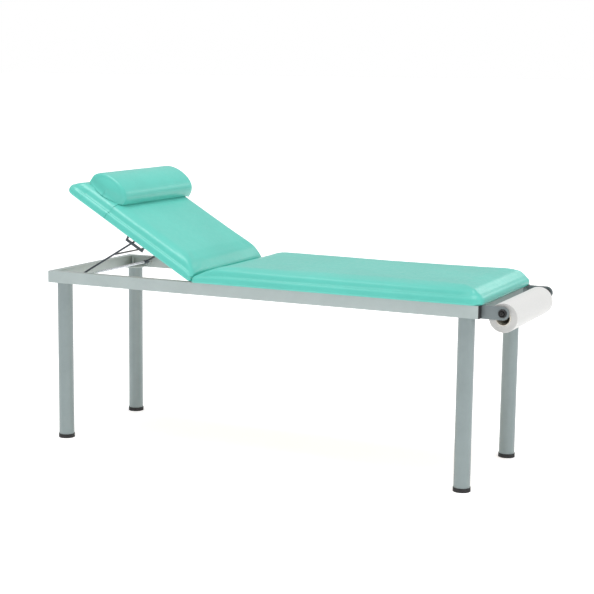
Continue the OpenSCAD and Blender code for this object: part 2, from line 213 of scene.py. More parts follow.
def make_paint(name, colour, roughness, metallic, wear):
    """Sprayed paint on steel: orange peel, faint mottling, and rubbed edges that show the primer."""
    m = Nodes(name, colour, roughness, metallic, Coat_Weight=0.12, Coat_Roughness=0.25)
    base = m.mix(m.ramp(m.noise(9, 5.0, 0.65), 0.3, 0.7), shade(colour, 0.95), shade(colour, 1.05))
    rubbed = m.multiply(m.edges(0.0016), m.ramp(m.noise(90, 5.0, 0.7), 0.50, 0.68))
    base = m.mix(rubbed, base, wear)
    dust = m.ramp(m.noise(420, 2.0), 0.70, 0.76, 0.0, 0.25)
    base = m.mix(dust, base, shade(colour, 0.8))
    m.bump(m.noise(520, 2.0, 0.45), 0.22, 0.00018)
    m.bump(m.noise(60, 2.0, 0.4), 0.10, 0.0004)
    return m.done(base, m.ramp(m.noise(150, 4.0, 0.6), 0.3, 0.7, roughness - 0.05, roughness + 0.07))


def make_moulded(name, colour, roughness, grain):
    """Moulded plastic or rubber: fine spark-eroded grain and paler rubbed edges."""
    m = Nodes(name, colour, roughness)
    rubbed = m.multiply(m.edges(0.0012), m.ramp(m.noise(160, 4.0), 0.45, 0.7, 0.0, 0.7))
    base = m.mix(rubbed, colour, shade(colour, 3.0))
    base = m.mix(m.ramp(m.noise(30, 5.0, 0.7), 0.55, 0.8, 0.0, 0.5), base, shade(colour, 1.8))
    m.bump(m.noise(grain, 3.0, 0.6), 0.35, 0.0001)
    return m.done(base, m.ramp(m.noise(70, 4.0), 0.3, 0.7, roughness - 0.08, roughness + 0.08))


def make_bright_steel():
    """Polished tube with fine scratches round it and faint finger marks."""
    steel = (0.60, 0.63, 0.66)
    m = Nodes("bright_steel_tube", steel, 0.16, 1.0)
    around = m.noise(60, 5.0, 0.7, place=m.stretched((1, 40, 1)))
    smears = m.noise(34, 5.0, 0.65, 0.8)
    base = m.mix(m.ramp(smears, 0.45, 0.7), steel, shade(steel, 0.9))
    m.bump(around, 0.10, 0.00005)
    return m.done(base, m.ramp(smears, 0.35, 0.7, 0.13, 0.26))


def make_zinc():
    """Bright zinc plate: spangle, a faint yellow cast and dull patches."""
    zinc = (0.62, 0.62, 0.60)
    m = Nodes("zinc_plate", zinc, 0.34, 1.0)
    spangle = m.cells(240)
    base = m.mix(m.ramp(spangle, 0.1, 0.8), shade(zinc, 0.86), shade(zinc, 1.1))
    base = m.mix(m.ramp(m.noise(90, 4.0), 0.55, 0.75, 0.0, 0.5), base, (0.60, 0.57, 0.47))
    m.bump(m.noise(900, 2.0), 0.15, 0.00005)
    return m.done(base, m.ramp(m.noise(120, 4.0), 0.3, 0.7, 0.26, 0.44))


def make_plywood():
    """Birch plywood: long grain along the table, pores, and plies that show on the edges."""
    m = Nodes("birch_plywood", (0.62, 0.46, 0.29), 0.62)
    grain = m.noise(7, 8.0, 0.65, 1.6, place=m.stretched((0.8, 9, 9)))
    base = m.mix(m.ramp(grain, 0.32, 0.68), (0.68, 0.52, 0.34), (0.52, 0.36, 0.21))
    pores = m.noise(60, 3.0, 0.6, place=m.stretched((1.0, 14, 14)))
    base = m.mix(m.ramp(pores, 0.60, 0.72, 0.0, 0.6), base, (0.34, 0.22, 0.12))
    m.bump(pores, 0.30, 0.0003)
    m.bump(grain, 0.20, 0.0004)
    return m.done(base, m.ramp(grain, 0.3, 0.7, 0.52, 0.72))


def make_paper():
    """Soft crepe paper: fine cross ribs, fibres and a slightly warm white."""
    m = Nodes("couch_paper", (0.64, 0.64, 0.63), 0.86, Sheen_Weight=0.1)
    fibres = m.noise(260, 6.0, 0.7, 0.6)
    base = m.mix(m.ramp(fibres, 0.35, 0.65), (0.61, 0.61, 0.60), (0.66, 0.66, 0.65))
    ribs = m.noise(330, 2.0, 0.5, 0.4, place=m.stretched((1, 0.18, 1)))
    m.bump(ribs, 0.30, 0.00025)
    m.bump(fibres, 0.20, 0.0001)
    return m.done(base)


def make_cardboard():
    """Grey-brown core board with pressed fibres."""
    m = Nodes("core_board", (0.74, 0.71, 0.63), 0.88)
    fibres = m.noise(180, 6.0, 0.75, place=m.stretched((1, 0.3, 1)))
    base = m.mix(m.ramp(fibres, 0.35, 0.65), (0.78, 0.75, 0.67), (0.66, 0.62, 0.53))
    m.bump(fibres, 0.35, 0.0002)
    return m.done(base)


VINYL = make_vinyl()
FRAME_PAINT = make_paint("silver_grey_paint", (0.385, 0.448, 0.443), 0.42, 0.25, (0.52, 0.53, 0.53))
# The legs' paint is the frame's grey made darker: painted shade for the dimmer light low down, not a
# different paint.
LEG_PAINT_WITH_PAINTED_SHADE = make_paint("leg_grey_paint_painted_shade", (0.240, 0.290, 0.293), 0.36, 0.35, (0.40, 0.41, 0.41))
ARM_PAINT = make_paint("dark_grey_paint", (0.180, 0.212, 0.220), 0.42, 0.2, (0.35, 0.36, 0.36))
BLACK_PAINT = make_paint("black_paint", (0.030, 0.042, 0.056), 0.34, 0.1, (0.30, 0.30, 0.31))
BLACK_PLASTIC = make_moulded("black_plastic", (0.012, 0.012, 0.013), 0.42, 1500)
RUBBER = make_moulded("black_rubber", (0.016, 0.016, 0.017), 0.68, 900)
BRIGHT = make_bright_steel()
ZINC = make_zinc()
PLYWOOD = make_plywood()
PAPER = make_paper()
CORE_BOARD = make_cardboard()
SLOT_MATERIAL = {
    "frame_paint": FRAME_PAINT, "holder_paint": ARM_PAINT, "black_paint": BLACK_PAINT,
    "black_plastic": BLACK_PLASTIC, "black_rubber": RUBBER, "bright_steel": BRIGHT,
    "zinc_steel": ZINC, "plywood": PLYWOOD, "green_vinyl": VINYL, "cardboard": CORE_BOARD,
    "paper": PAPER,
}


# ---- Mesh helpers ----

UP = Vector((0, 0, 1))


def mesh_object(name, points, faces, material, slot, body, smooth_angle=40):
    """One piece from points and faces, shaded smooth below smooth_angle, riding on a body."""
    mesh = bpy.data.meshes.new(name)
    mesh.from_pydata([tuple(p) for p in points], [], faces)
    tidy = bmesh.new()
    tidy.from_mesh(mesh)
    bmesh.ops.remove_doubles(tidy, verts=tidy.verts, dist=1e-6)
    bmesh.ops.recalc_face_normals(tidy, faces=tidy.faces)
    tidy.to_mesh(mesh)
    tidy.free()
    mesh.materials.append(material)
    mesh.shade_smooth()
    mesh.set_sharp_from_angle(angle=math.radians(smooth_angle))
    piece = bpy.data.objects.new(name, mesh)
    bpy.context.scene.collection.objects.link(piece)
    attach(piece, body)
    return piece


def grid_faces(rows, columns, loop_rows=False, loop_columns=False):
    """Four-sided faces between the points of a grid, which may close on itself along its rows or columns."""
    faces = []
    for i in range(rows if loop_rows else rows - 1):
        j = (i + 1) % rows
        for k in range(columns if loop_columns else columns - 1):
            n = (k + 1) % columns
            faces.append((i * columns + k, i * columns + n, j * columns + n, j * columns + k))
    return faces


def grid_rim(rows, columns):
    """The points round the outside of a grid, in order."""
    last = (rows - 1) * columns
    return ([i * columns for i in range(rows)] + [last + k for k in range(1, columns)]
            + [i * columns + columns - 1 for i in range(rows - 2, -1, -1)] + list(range(columns - 2, 0, -1)))


def band(above, below):
    """Faces between two rings of points."""
    count = len(above)
    return [(above[k], above[(k + 1) % count], below[(k + 1) % count], below[k]) for k in range(count)]


def end_faces(rows, columns):
    """The faces that close the first and the last ring of a tube."""
    return [tuple(range(columns)), tuple((rows - 1) * columns + k for k in reversed(range(columns)))]


def fillet(outline, radius, steps=5):
    """A closed outline with each corner cut by an arc of up to the given radius."""
    rounded = []
    count = len(outline)
    for i in range(count):
        before, here, after = (Vector(outline[(i + k) % count]) for k in (-1, 0, 1))
        to_before, to_after = before - here, after - here
        angle = to_before.angle(to_after)
        if math.pi - angle < 0.05:
            rounded.append(here)
            continue
        reach = min(radius / math.tan(angle / 2), 0.45 * to_before.length, 0.45 * to_after.length)
        start = here + to_before.normalized() * reach
        end = here + to_after.normalized() * reach
        for k in range(steps + 1):
            t = k / steps
            rounded.append((1 - t) ** 2 * start + 2 * t * (1 - t) * here + t ** 2 * end)
    return rounded


def sweep(path, radius, sides, wobble=0.0):
    """Points and faces of a round bar along a path, its radius varied by wobble."""
    points = []
    count = len(path)
    for i, here in enumerate(path):
        along = (path[min(i + 1, count - 1)] - path[max(i - 1, 0)]).normalized()
        side = along.cross(Vector((0.31, 0.17, 0.93))).normalized()
        other = along.cross(side)
        size = radius * (1 + wobble * noise.noise(here * 400))
        for k in range(sides):
            angle = 2 * math.pi * k / sides
            points.append(here + (side * math.cos(angle) + other * math.sin(angle)) * size)
    return points, grid_faces(count, sides, loop_columns=True) + end_faces(count, sides)


def gather(parts):
    """Joins several (points, faces) lists into one."""
    points, faces = [], []
    for some_points, some_faces in parts:
        start = len(points)
        points += some_points
        faces += [tuple(start + i for i in face) for face in some_faces]
    return points, faces


def smoothstep(value):
    """Rises smoothly from 0 to 1 as value does, and stays there outside."""
    value = min(max(value, 0.0), 1.0)
    return value * value * (3 - 2 * value)


# ---- Upholstery ----

class Pad:
    """A crowned pad in its own flat place: x from the hinge line, y across, z up from the board's underside.

    Its section goes up a straight wall, over a round bead and through knots to the crown. A knot is
    (distance from the edge, height, slope). The vinyl covers the board's edges and is folded under it.
    """
    # The section: the crown, the board inside, the wall beside it and the bead above.
    full_z = 0.0640
    board_z = 0.0165
    wall_z = 0.0125
    wall_bulge = 0.0016
    bead_round = 0.0200
    bead_depth = 0.0100
    side_knots = ((0.0100, 0.0298, 0.577), (0.0145, 0.0320, 0.6), (0.0175, 0.0390, 3.2),
                  (0.0225, 0.0490, 1.4), (0.0340, 0.0576, 0.42), (0.0700, 0.0640, 0.0))
    end_knots = ((0.0100, 0.0298, 1.1), (0.0180, 0.0395, 1.15), (0.0330, 0.0535, 0.70),
                 (0.0550, 0.0622, 0.15), (0.0850, 0.0640, 0.0))
    end_blend = 0.05

    # The plan's corners, and how far the hinge end leans back.
    hinge_corner = 0.020
    free_corner = 0.046
    mitre = math.tan(math.radians(17))
    mitre_reach = 0.14

    # The underside, and the free end's face.
    hem_z = -0.0006
    hem_depth = 0.0445
    hidden_z = 0.006
    underside_inset = 0.004
    tuck_in = 0.0045
    tuck_reach = 0.02

    # The grid: the places of its lines near an edge, their pitch further in, and the gap at the hinge line.
    edge_steps = (0, 0.001, 0.0025, 0.0045, 0.007, 0.010, 0.0135, 0.0175, 0.022, 0.027, 0.033, 0.041, 0.052,
                  0.066, 0.084)
    pitch = 0.014
    seam = 0.001

    def __init__(self, length, width, hinge_thin, hinge_reach):
        """hinge_thin is the share of the foam's height left at the hinge line, full again at hinge_reach."""
        self.length, self.width = length, width
        self.hinge_thin, self.hinge_reach = hinge_thin, hinge_reach

    def lines(self, size):
        """Distances along one side, close together near both ends."""
        middle = size - 2 * self.edge_steps[-1]
        count = round(middle / self.pitch)
        inner = [self.edge_steps[-1] + middle * (i + 1) / count for i in range(count - 1)]
        return list(self.edge_steps) + inner + [size - step for step in reversed(self.edge_steps)]

    def from_middle(self, x):
        """The plan's half length, a place measured from its middle, and the corner radius at that end."""
        half_length = (self.length - self.seam) / 2
        x -= self.seam + half_length
        return half_length, x, self.free_corner if x > 0 else self.hinge_corner

    def place(self, x, y):
        """A grid point moved so that the plan's corners are round, with its distance from the edge."""
        half_length, x, corner = self.from_middle(x)
        half_width = self.width / 2
        past_x = (abs(x) - (half_length - corner)) / corner
        past_y = (abs(y) - (half_width - corner)) / corner
        if past_x > 0 and past_y > 0:
            round_x = past_x * math.sqrt(1 - past_y * past_y / 2)
            past_y *= math.sqrt(1 - past_x * past_x / 2)
            past_x = round_x
            x = math.copysign(1, x) * (half_length - corner + past_x * corner)
            y = math.copysign(1, y) * (half_width - corner + past_y * corner)
        if x < 0:
            past_x = -math.inf
        outside = max(past_x, past_y)
        if outside > 0:
            outside = math.hypot(max(past_x, 0), max(past_y, 0))
        return x + self.seam + half_length, y, max(corner * (1 - outside), 0.0)

    def outward(self, x, y):
        """The plan direction out of the pad at a point on its edge."""
        half_length, x, corner = self.from_middle(x)
        away = Vector((math.copysign(max(abs(x) - (half_length - corner), 0), x),
                       math.copysign(max(abs(y) - (self.width / 2 - corner), 0), y), 0))
        return away.normalized()

    def profile(self, depth, knots):
        """Height at a distance from the edge: the bead, then a smooth curve through the knots."""
        r = self.bead_round
        if depth < self.bead_depth:
            return self.wall_z + math.sqrt(max(r * r - (r - depth) ** 2, 0))
        for (a, low, rise), (b, high, end_rise) in zip(knots, knots[1:]):
            if depth < b:
                t, span = (depth - a) / (b - a), b - a
                return (low * (1 + 2 * t) * (1 - t) ** 2 + high * t * t * (3 - 2 * t)
                        + span * (rise * t * (1 - t) ** 2 - end_rise * t * t * (1 - t)))
        return self.full_z

    def top(self, depth, x=0.1, y=0.0):
        """Height of the top: a bead and a step along the sides, an even roll-off at the free end."""
        from_end, from_side = self.length - x, self.width / 2 - abs(y)
        at_end = smoothstep(0.5 + (from_side - from_end) / self.end_blend)
        side = self.profile(depth, self.side_knots)
        return side + at_end * (self.profile(depth, self.end_knots) - side)

    def shaped(self, x, y, z):
        """Thins the foam towards the hinge line, and leans it back so that the raised pads close."""
        reach = min(max(x / self.hinge_reach, 0), 1)
        if z > self.board_z:
            share = self.hinge_thin + (1 - self.hinge_thin) * (1 - (1 - reach) ** 2)
            z = self.board_z + (z - self.board_z) * share
        return Vector((x + self.mitre * max(z, 0) * (1 - smoothstep(x / self.mitre_reach)), y, z))

    def edge_levels(self):
        """(height, outward bulge) of each ring from the wall's top down to the hem."""
        shares = (0.85, 0.70, 0.55, 0.40)
        levels = [(self.wall_z * share, self.wall_bulge * math.sin(math.pi * share)) for share in shares]
        return levels + [(0.0022, -0.0002), (0.0002, -0.0012), (self.hem_z, -0.0034)]

    def tuck(self, x, z):
        """How far the free end's face is pulled in under the bead."""
        near_end = smoothstep((x - self.length + self.tuck_reach) / self.tuck_reach)
        return -self.tuck_in * near_end * (1 - smoothstep(z / self.wall_z))

    def underside(self, x, y, depth):
        """A point of the underside: the hem along the edges, hidden inside the board elsewhere."""
        z = self.hem_z if min(depth, x) < self.hem_depth else self.hidden_z
        inset = self.underside_inset
        return Vector((x + (self.length - 2 * x) * inset / self.length, y - 2 * y * inset / self.width, z))

    def build(self):
        """Points and faces of the closed pad: top grid, side rings and underside grid."""
        xs = [self.seam + v for v in self.lines(self.length - self.seam)]
        ys = [v - self.width / 2 for v in self.lines(self.width)]
        plan = [self.place(x, y) for x in xs for y in ys]
        points = [self.shaped(x, y, self.top(depth, x, y)) for x, y, depth in plan]
        top_faces = grid_faces(len(xs), len(ys))
        faces = [(a, d, c, b) for a, b, c, d in top_faces]
        ring = grid_rim(len(xs), len(ys))
        above = ring
        for z, bulge in self.edge_levels():
            start = len(points)
            for index in ring:
                x, y, _ = plan[index]
                moved = Vector((x + self.tuck(x, z), y, 0)) + self.outward(x, y) * bulge
                points.append(self.shaped(moved.x, moved.y, z))
            below = list(range(start, start + len(ring)))
            faces += band(above, below)
            above = below
        start = len(points)
        points += [self.underside(x, y, depth) for x, y, depth in plan]
        faces += [tuple(start + index for index in face) for face in top_faces]
        faces += band(above, [start + index for index in ring])
        return points, faces


def inflate(piece, free, pressure, cap):
    """Swells a closed mesh by cloth simulation. Points for which free() is false stay pinned."""
    mesh = piece.data
    rest = [v.co.copy() for v in mesh.vertices]
    pinned = [v.index for v in mesh.vertices if not free(v.co)]
    group = piece.vertex_groups.new(name="pinned")
    group.add(pinned, 1.0, "REPLACE")
    cloth = piece.modifiers.new("cloth", "CLOTH")
    settings = cloth.settings
    settings.quality = 5
    settings.mass = 0.3
    settings.tension_stiffness = settings.compression_stiffness = 30
    settings.shear_stiffness = 12
    settings.bending_stiffness = 4
    settings.air_damping = 3
    settings.use_pressure = True
    settings.uniform_pressure_force = pressure
    settings.vertex_group_mass = "pinned"
    settings.effector_weights.gravity = 0
    cloth.collision_settings.use_collision = False
    frames = 20
    cloth.point_cache.frame_start, cloth.point_cache.frame_end = 1, frames
    scene = bpy.context.scene
    for step in range(1, frames + 1):
        scene.frame_set(step)
    swollen = piece.evaluated_get(bpy.context.evaluated_depsgraph_get()).data
    moved = [v.co.copy() for v in swollen.vertices]
    piece.modifiers.remove(cloth)
    piece.vertex_groups.remove(group)
    for vertex, start, end in zip(mesh.vertices, rest, moved):
        shift = end - start
        if shift.length > 1e-9:
            shift *= cap * math.tanh(shift.length / cap) / shift.length
        vertex.co = start + shift
    scene.frame_set(1)


def refine(piece):
    """One level of subdivision, applied."""
    subdivide = piece.modifiers.new("refine", "SUBSURF")
    subdivide.levels = subdivide.render_levels = 1
    fine = bpy.data.meshes.new_from_object(piece.evaluated_get(bpy.context.evaluated_depsgraph_get()))
    piece.modifiers.clear()
    name = piece.data.name
    piece.data = fine
    fine.name = name
    fine.shade_smooth()


def crease(point, start, along, reach, width, depth):
    """How far a fold that runs from start along a direction pulls a point in."""
    offset = point - start
    distance = offset.dot(along)
    if not 0 < distance < reach:
        return 0.0
    aside = (offset - along * distance).length
    fade = math.sin(math.pi * min(distance / reach, 1)) ** 0.5
    return depth * fade * math.exp(-(aside / width) ** 2)


def groove(pad, point):
    """The pull of the seam inside each side's bead, which fades towards the pad's ends."""
    seam_depth, seam_width, pull = 0.0165, 0.0050, 0.0050
    depth = pad.width / 2 - abs(point.y)
    hinge_margin, free_margin, fade_length = 0.02, 0.035, 0.05
    at_hinge = smoothstep((point.x - hinge_margin) / fade_length)
    fade = at_hinge * smoothstep((pad.length - point.x - free_margin) / fade_length)
    inward = Vector((0, -0.5 * math.copysign(1, point.y), -0.8))
    return inward * (fade * pull * math.exp(-((depth - seam_depth) / seam_width) ** 2))


def ripple(point):
    """Slow unevenness of hand-stretched vinyl, in metres."""
    return 0.0007 * noise.noise(point * 5.0) + 0.00025 * noise.noise(point * 19.0)


def make_pad(name, node, body, pad, to_world):
    """A crowned vinyl pad: swollen by simulation, rippled, with tucks at its round corners."""
    points, faces = pad.build()
    piece = mesh_object(name, points, faces, VINYL, "green_vinyl", body, 180)
    swells_above, groove_above, hem_below, ripples_above = 0.042, 0.024, 0.001, 0.02
    inflate(piece, lambda co: co.z > swells_above, pressure=4.0, cap=0.0032)
    inset = 0.016
    corners = [Vector((pad.length - inset, side * (pad.width / 2 - inset), 0.0)) for side in (-1, 1)]
    for vertex in piece.data.vertices:
        co = vertex.co.copy()
        if co.z <= hem_below:
            continue
        vertex.co.z += ripple(co) * smoothstep((co.z - ripples_above) / 0.02)
        if co.z > groove_above:
            vertex.co += groove(pad, co)
        middle = Vector((pad.length / 2, 0, co.z))
        for corner in corners:
            pull = crease(co, corner, UP, reach=0.036, width=0.0035, depth=0.0022)
            vertex.co += (middle - co).normalized() * pull
    piece.data.transform(to_world)
    if to_world.determinant() < 0:
        piece.data.flip_normals()
    refine(piece)
    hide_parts(node)
    return piece


SEAT_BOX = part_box("seat_pad")
PAD_WIDTH = SEAT_BOX[1][1] - SEAT_BOX[0][1]
SEAT_FLAT = Matrix.Translation((HINGE.x, 0, SEAT_BOX[0][2]))
SEAT = Pad(SEAT_BOX[1][0] - HINGE.x, PAD_WIDTH, 0.17, 0.135)

BACK_LIFT = 0.002
TO_BACK = Matrix.Translation(HINGE) @ Matrix.Rotation(REST_ANGLE, 4, "Y") @ Matrix.Scale(-1, 4, (1, 0, 0))
BACK_FLAT = TO_BACK @ Matrix.Translation((0, 0, BACK_LIFT))
BACK_RUN = HINGE.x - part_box("backrest_pad")[0][0]
BACK = Pad((BACK_RUN + BACK_LIFT * math.sin(REST_ANGLE)) / math.cos(REST_ANGLE), PAD_WIDTH, 0.35, 0.062)

make_pad("seat_cushion", "seat_pad", "frame", SEAT, SEAT_FLAT)
backrest_cushion = make_pad("backrest_cushion", "backrest_pad", "backrest", BACK, BACK_FLAT)


def bolster_section(scale, half_width, height, sides):
    """A half-round section whose skirt spreads where it is sewn down. The scale shrinks what is above."""
    outline = []
    core, belly = 0.36 * height, 0.27 * height
    head_skirt, front_skirt = 0.014, 0.004
    for k in range(sides):
        angle = 2 * math.pi * k / sides
        across, up = math.cos(angle), math.sin(angle)
        if up >= 0:
            u, w = across * half_width, belly + up ** 0.94 * (height - belly)
        else:
            w = belly * (1 - (-up) ** 0.4)
            skirt = (head_skirt if across > 0 else front_skirt) * max(1 - w / (0.6 * belly), 0) ** 2
            u = math.copysign(abs(across) ** 0.3, across) * (half_width + skirt)
        outline.append((u * scale, core + (w - core) * scale if w > core else w))
    return outline


def bolster_stations(half_length, half_width, end_round, dome):
    """(place along the bolster, section scale) from end to end, and where the ends' seams are."""
    round_reach = end_round * 0.62
    seam_at = half_length - round_reach - dome
    straight = [(seam_at * (2 * i / 40 - 1), 1.0) for i in range(41)]
    end = []
    for k in range(1, 7):
        angle = 0.5 * math.pi * k / 6
        scale = 1 - end_round * (1 - math.cos(angle)) / half_width
        end.append((seam_at + round_reach * math.sin(angle), scale))
    for k in range(1, 10):
        part = k / 9.2
        scale = (1 - end_round / half_width) * (1 - part)
        end.append((seam_at + round_reach + dome * (1 - (1 - part) ** 2), scale))
    return [(-y, scale) for y, scale in reversed(end)] + straight + end, seam_at


def make_bolster():
    """A half-round neck bolster whose ends are sewn on along a seam and bulge a little."""
    low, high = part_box("neck_bolster")
    flat = [TO_BACK.inverted() @ v.co for v in frame["nodes"]["neck_bolster"].data.vertices]
    u_low, u_high = min(p.x for p in flat), max(p.x for p in flat)
    height = max(p.z for p in flat) - min(p.z for p in flat)
    nearer_hinge, sunk = 0.006, 0.0015
    half_width, middle = (u_high - u_low) / 2, (u_low + u_high) / 2 - nearer_hinge
    half_length, centre_y = (high[1] - low[1]) / 2, (high[1] + low[1]) / 2
    base = BACK_LIFT + BACK.full_z
    stations, seam_at = bolster_stations(half_length, half_width, end_round=0.026, dome=0.012)
    sides, seam_pinch, end_spread = 48, 0.014, 0.010
    points = []
    for y, scale in stations:
        drop = BACK.full_z - BACK.top(max(PAD_WIDTH / 2 - abs(y + centre_y), 0.024))
        pinch = 1 - seam_pinch * math.exp(-((abs(y) - seam_at) / 0.003) ** 2)
        for u, w in bolster_section(scale * pinch, half_width, height, sides):
            fall = drop * (1 - smoothstep(w / (0.75 * height)))
            beyond = smoothstep((abs(y) - seam_at) / 0.020)
            spread = math.copysign(end_spread * beyond * max(1 - w / (0.25 * height), 0) ** 2, y)
            points.append(Vector((middle + u, centre_y + y + spread, base - sunk + w - fall)))
    faces = grid_faces(len(stations), sides, loop_columns=True) + end_faces(len(stations), sides)
    piece = mesh_object("bolster_cushion", points, faces, VINYL, "green_vinyl", "bolster", 180)

    def free(co):
        """Whether a point is above the foot and off the seams."""
        return co.z > base + 0.012 and abs(abs(co.y - centre_y) - seam_at) > 0.004

    inflate(piece, free, pressure=4.0, cap=0.003)
    for vertex in piece.data.vertices:
        vertex.co.z += 1.5 * ripple(vertex.co) * smoothstep((vertex.co.z - base - 0.01) / 0.02)
    piece.data.transform(TO_BACK)
    piece.data.flip_normals()
    refine(piece)
    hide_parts("neck_bolster")


def pad_outline(pad):
    """(y, height, outward direction) round a pad's section, from under one edge to under the other."""
    half = pad.width / 2
    edge = [(half - inset, -0.002, -UP) for inset in (0.030, 0.022, 0.014, 0.007)]
    edge.append((half, 0.0, Vector((0, 0.7, -0.7))))
    edge += [(half, z, Vector((0, 1, 0))) for z in (0.004, 0.008, 0.012)]
    for depth, out in ((0.0008, Vector((0, 0.95, 0.3))), (0.0025, Vector((0, 0.8, 0.6)))):
        edge.append((half - depth, pad.top(depth), out))
    steps = [0.006, 0.009, 0.0125, 0.016, 0.020, 0.024, 0.029, 0.035, 0.043, 0.053]
    count, start = 44, 0.065
    inner = [start + (pad.width - 2 * start) * k / count for k in range(count + 1)]
    depths = steps + inner + [pad.width - step for step in reversed(steps)]
    over = [(half - depth, pad.top(min(depth, pad.width - depth)), UP) for depth in depths]
    mirrored = [(-y, z, Vector((0, -out.y, out.z))) for y, z, out in reversed(edge)]
    return edge + over + mirrored


def make_sleeve(cushion):
    """A hemmed vinyl band, sewn to the bolster, that wraps over the backrest and hooks under its edges."""
    to_flat = BACK_FLAT.inverted()
    surface = BVHTree.FromPolygons([to_flat @ v.co for v in cushion.data.vertices],
                                   [tuple(p.vertices) for p in cushion.data.polygons])
    front, back, hem, steps = 0.458, 0.588, 0.009, 26
    underneath, outer_lift, hem_lift, stitch_dip, inner_lift = 0.0001, 0.0021, 0.0007, 0.0006, 0.0009
    outline = pad_outline(BACK)
    outer, inner = [], []
    for i in range(steps + 1):
        u = front + (back - front) * i / steps
        edge = min(u - front, back - u)
        lift = outer_lift + hem_lift * (1 - smoothstep((edge - hem + 0.001) / 0.002))
        lift -= stitch_dip * math.exp(-((edge - hem) / 0.0012) ** 2)
        for y, z, out in outline:
            place = Vector((u, y, z))
            hit = surface.ray_cast(place + out * 0.03, -out)[0] or place
            squeezed = out.z < -0.5
            outer.append(hit + out * (underneath if squeezed else lift))
            inner.append(hit + out * (0.0 if squeezed else inner_lift))
    count = len(outline)
    total = len(outer)
    faces = grid_faces(steps + 1, count)
    faces += [tuple(index + total for index in reversed(face)) for face in faces]
    rim = grid_rim(steps + 1, count)
    faces += band(rim, [index + total for index in rim])
    points = [BACK_FLAT @ point for point in outer + inner]
    sleeve = mesh_object("bolster_sleeve", points, faces, VINYL, "green_vinyl", "bolster", 50)


make_bolster()
make_sleeve(backrest_cushion)


# ---- Paper roll ----

def roll_face(outer, inner):
    """(distance in from the end, radius) from the roll's rim to its core, with a step for each layer."""
    layers, layer_depth = 30, 0.0004
    pitch = (outer - 0.0025 - inner) / layers
    face = [(0.0040, outer), (0.0016, outer - 0.0002), (0.0005, outer - 0.0009)]
    for k in range(layers):
        radius = outer - 0.0020 - k * pitch
        wave = 0.0005 * math.sin(k * 1.9) * math.sin(k * 0.37)
        face.append((wave + 0.0002, radius))
        face.append((wave + layer_depth + 0.0002, radius - 0.72 * pitch))
    return face + [(0.0030, inner)]


def make_paper_roll():
    """A wound roll: end faces with the edges of its layers, and the step where the outer sheet ends."""
    low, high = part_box("paper_roll")
    outer, half = (high[2] - low[2]) / 2, (high[1] - low[1]) / 2
    inner = 0.0272
    centre = Vector((ROLL_AXIS.x, (low[1] + high[1]) / 2, ROLL_AXIS.z))
    segments, sheet, sheet_end = 144, 0.0005, 2.2
    face = roll_face(outer, inner)
    body = [(y * half / 12, outer) for y in range(-11, 12)]
    outline = [(-half + d, r) for d, r in reversed(face)] + body + [(half - d, r) for d, r in face]
    points = []
    for i in range(segments + 1):
        turn = i / segments
        angle = 2 * math.pi * turn + sheet_end
        for along, radius in outline:
            place = Vector((math.cos(angle), along * 6, math.sin(angle)))
            if radius > outer - 0.001:
                radius += sheet * (turn - 1) + 0.0003 * noise.noise(place * 1.7)
            shift = 0.0003 * noise.noise(place * 3 + Vector((0, 0, radius * 700)))
            side = shift if abs(along) > half - 0.005 else 0
            points.append(centre + Vector((math.cos(angle) * radius, along + side, math.sin(angle) * radius)))
    rows, count = segments + 1, len(outline)
    faces = grid_faces(rows, count, loop_rows=True)
    for i in range(rows):
        a, b = i * count, (i + 1) % rows * count
        faces.append((a, b, b + count - 1, a + count - 1))
    piece = mesh_object("wound_paper", points, faces, PAPER, "paper", "roll", 35)
    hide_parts("paper_roll")


make_paper_roll()


# ---- Holder knobs ----

def make_knob(side, node):
    """A moulded knob with a lobed grip, a raised hub and a dimple."""
    low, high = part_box(node)
    radius = (high[0] - low[0]) / 2
    centre = Vector(((low[0] + high[0]) / 2, 0, (low[2] + high[2]) / 2))
    inner_y = low[1] if side > 0 else -high[1]
    thick = high[1] - low[1]
    outline = [(0, 0), (0, 0.78), (0.10, 0.93), (0.24, 1.0), (0.60, 1.0), (0.80, 0.93), (0.90, 0.80),
               (0.88, 0.62), (0.80, 0.52), (0.82, 0.46), (1.00, 0.42), (1.0, 0.20), (0.93, 0.12), (0.91, 0)]
    outline = fillet(outline, 0.05, 3)
    segments, lobes, lobe_depth = 96, 8, 0.05
    points = []
    for i in range(segments):
        angle = 2 * math.pi * i / segments
        cut = lobe_depth * max(0.0, math.cos(lobes * angle)) ** 2
        for along, reach in outline:
            r = radius * max(reach - cut * smoothstep((reach - 0.7) / 0.2), 0)
            y = side * (inner_y + along * thick)
            points.append(centre + Vector((math.cos(angle) * r, y, math.sin(angle) * r)))
    faces = grid_faces(segments, len(outline), loop_rows=True)
    piece = mesh_object(node + "_moulded", points, faces, BLACK_PLASTIC, "black_plastic", "frame", 35)
    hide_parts(node)


make_knob(-1, "holder_knob_right")
make_knob(1, "holder_knob_left")


# ---- Welds and staples ----

def bead_path(start, end, step=0.0022):
    """Points every step along a straight line."""
    start, end = Vector(start), Vector(end)
    count = max(int((end - start).length / step), 1)
    return [start.lerp(end, k / count) for k in range(count)] + [end]


def make_welds():
    """Painted fillet welds where the cross rails meet the long rails."""
    parts = []
    radius, sink = 0.0021, 0.0004
    for node in ("cross_rail_head", "cross_rail_foot", "cross_rail_middle"):
        low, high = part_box(node)
        for side in (-1, 1):
            inner_y = side * (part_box("rail_left")[0][1] - sink)
            for x in (low[0], high[0]):
                path = bead_path((x, inner_y, low[2] + 0.004), (x, inner_y, high[2] - 0.003))
                parts.append(sweep(path, radius, sides=6, wobble=0.5))
    mesh_object("frame_welds", *gather(parts), FRAME_PAINT, "frame_paint", "frame", 60)


make_welds()


